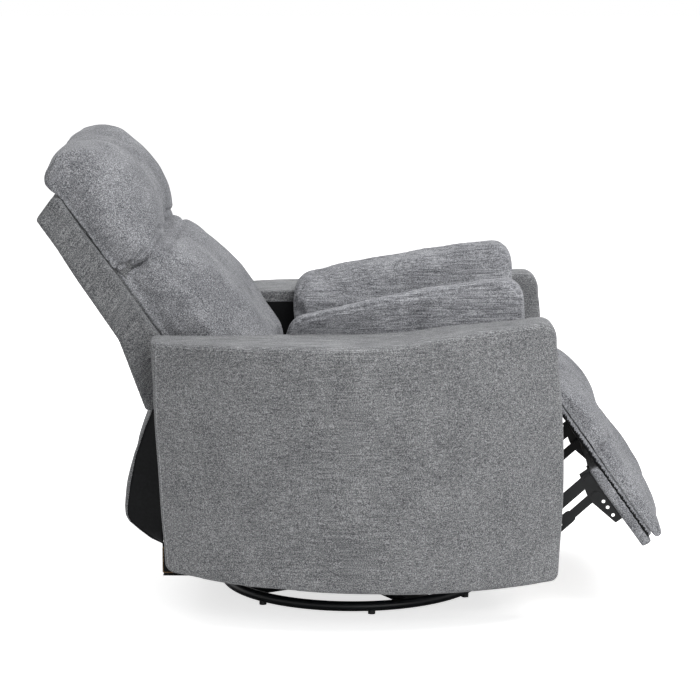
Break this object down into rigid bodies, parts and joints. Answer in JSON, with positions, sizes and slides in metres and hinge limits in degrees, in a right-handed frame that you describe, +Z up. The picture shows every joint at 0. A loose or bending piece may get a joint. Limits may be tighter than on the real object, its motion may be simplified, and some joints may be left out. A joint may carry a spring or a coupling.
{
  "type": "swivel glider recliner",
  "caption": "Upholstered swivel glider recliner with a power back and footrest, padded arm pillows, and a round steel ring base.",
  "frame": {"origin": "on the floor under the swivel axis, which is the middle of the ring base", "axes": "+X towards the front (the sitter's feet), +Y towards the sitter's left, +Z up"},
  "size_m": [1.3562, 0.972, 1.0301],
  "materials": {
    "upholstery": "heathered grey woven chenille, matt",
    "panel_upholstery": "heathered grey woven cloth pulled tight, matt",
    "lining": "black non-woven lining cloth",
    "webbing": "black woven elastic webbing",
    "frame_wood": "plain sawn hardwood",
    "black_steel": "black satin powder coat",
    "zinc_steel": "zinc plated",
    "black_plastic": "fine grained",
    "button_plastic": "semi-gloss"
  },
  "bodies": {
    "base": {"base_ring": "black_steel", "floor_glides": "black_plastic", "cross_bars": "black_steel", "lower_swivel_plate": "black_steel", "bearing_race": "zinc_steel", "bearing_balls": "zinc_steel", "swivel_bolt": "zinc_steel"},
    "carriage": {"upper_swivel_plate": "black_steel", "carriage_floor": "black_steel", "hanger_brackets": "black_steel", "upper_glide_pins": "zinc_steel"},
    "front_links": {"front_glide_links": "black_steel"},
    "rear_links": {"rear_glide_links": "black_steel"},
    "chair": {"lower_glide_pins": "zinc_steel", "glide_rails": "black_steel", "seat_side_rails": "frame_wood", "bottom_rails": "frame_wood", "arm_blocks": "frame_wood", "seat_cross_rails": "frame_wood", "seat_webbing": "webbing", "seat_cushion": "upholstery", "dust_cover": "lining", "left_arm_shell": "panel_upholstery", "right_arm_shell": "panel_upholstery", "left_arm_pillow": "upholstery", "right_arm_pillow": "upholstery", "side_plates": "black_steel", "back_hinge_plates": "black_steel", "frame_pivot_pins": "black_steel", "rail_screws": "zinc_steel", "rear_flap": "panel_upholstery", "control_panel": "black_plastic", "power_inlet": "black_plastic", "power_box": "black_plastic", "back_actuator": "black_plastic", "actuator_mounts": "black_steel", "footrest_motor": "black_plastic"},
    "button_1": {"button_1": "button_plastic"},
    "button_2": {"button_2": "button_plastic"},
    "button_3": {"button_3": "button_plastic"},
    "button_4": {"button_4": "button_plastic"},
    "back": {"back_posts": "frame_wood", "back_rails": "frame_wood", "back_brackets": "black_steel", "back_panel": "panel_upholstery", "lumbar_cushion": "upholstery", "head_pillow": "upholstery"},
    "back_rod": {"back_rod": "zinc_steel"},
    "footrest": {"footrest_pad": "upholstery", "footrest_board": "lining", "footrest_lower_board": "panel_upholstery", "footrest_brackets": "black_steel", "bracket_pins": "black_steel"},
    "long_links": {"long_links": "black_steel", "drive_shaft": "black_steel", "long_link_pins": "black_steel"},
    "short_links": {"short_links": "black_steel"},
    "upper_bars": {"upper_bars": "black_steel"},
    "lower_bars": {"lower_bars": "black_steel"}
  },
  "joints": [
    {"name": "swivel", "type": "hinge", "parent": "base", "child": "carriage", "pos_m": [0, 0, 0.03], "axis": [0, 0, 1], "continuous": true},
    {"name": "front_link_swing", "type": "hinge", "parent": "carriage", "child": "front_links", "pos_m": [0.12, 0, 0.19], "axis": [0, 1, 0], "range_deg": [-33, 33]},
    {"name": "rear_link_swing", "type": "hinge", "parent": "carriage", "child": "rear_links", "pos_m": [-0.12, 0, 0.19], "axis": [0, 1, 0], "range_deg": [-33, 33]},
    {"name": "glide", "type": "hinge", "parent": "front_links", "child": "chair", "pos_m": [0.12, 0, 0.08], "axis": [0, 1, 0], "range_deg": [-32, 32]},
    {"name": "recline", "type": "hinge", "parent": "chair", "child": "back", "pos_m": [-0.34553, 0, 0.43956], "axis": [0, 1, 0], "range_deg": [-20, 14], "deforming": ["rear_flap"]},
    {"name": "back_rod_slide", "type": "slide", "parent": "chair", "child": "back_rod", "axis": [1, 0, 0], "range_m": [-0.042, 0.056]},
    {"name": "footrest_lift", "type": "hinge", "parent": "chair", "child": "footrest", "pos_m": [0.44029, 0, 0.50217], "axis": [0, -1, 0], "range_deg": [-35.2, 50]},
    {"name": "long_link_swing", "type": "hinge", "parent": "chair", "child": "long_links", "pos_m": [0.29687, 0, 0.37303], "axis": [0, -1, 0], "range_deg": [-36, 51]},
    {"name": "short_link_swing", "type": "hinge", "parent": "chair", "child": "short_links", "pos_m": [0.33254, 0, 0.40514], "axis": [0, -1, 0], "range_deg": [-36, 51]},
    {"name": "upper_bar_swing", "type": "hinge", "parent": "long_links", "child": "upper_bars", "pos_m": [0.36634, 0, 0.16872], "axis": [0, -1, 0], "range_deg": [-51, 36]},
    {"name": "lower_bar_swing", "type": "hinge", "parent": "long_links", "child": "lower_bars", "pos_m": [0.3831, 0, 0.13281], "axis": [0, -1, 0], "range_deg": [-51, 36]},
    {"name": "button_1_press", "type": "slide", "parent": "chair", "child": "button_1", "axis": [0, -1, 0], "range_m": [0, 0.0015], "stiffness_N_per_m": 900, "springref_m": -0.0005},
    {"name": "button_2_press", "type": "slide", "parent": "chair", "child": "button_2", "axis": [0, -1, 0], "range_m": [0, 0.0015], "stiffness_N_per_m": 900, "springref_m": -0.0005},
    {"name": "button_3_press", "type": "slide", "parent": "chair", "child": "button_3", "axis": [0, -1, 0], "range_m": [0, 0.0015], "stiffness_N_per_m": 900, "springref_m": -0.0005},
    {"name": "button_4_press", "type": "slide", "parent": "chair", "child": "button_4", "axis": [0, -1, 0], "range_m": [0, 0.0015], "stiffness_N_per_m": 900, "springref_m": -0.0005}
  ],
  "couplings": [
    {"joint": "front_link_swing", "follows": "glide", "ratio": -1},
    {"joint": "rear_link_swing", "follows": "glide", "ratio": -1},
    {"joint": "back_rod_slide", "follows": "recline", "m_per_rad": -0.148},
    {"joint": "long_link_swing", "follows": "footrest_lift", "ratio": 1},
    {"joint": "short_link_swing", "follows": "footrest_lift", "ratio": 1},
    {"joint": "upper_bar_swing", "follows": "footrest_lift", "ratio": -1},
    {"joint": "lower_bar_swing", "follows": "footrest_lift", "ratio": -1}
  ]
}
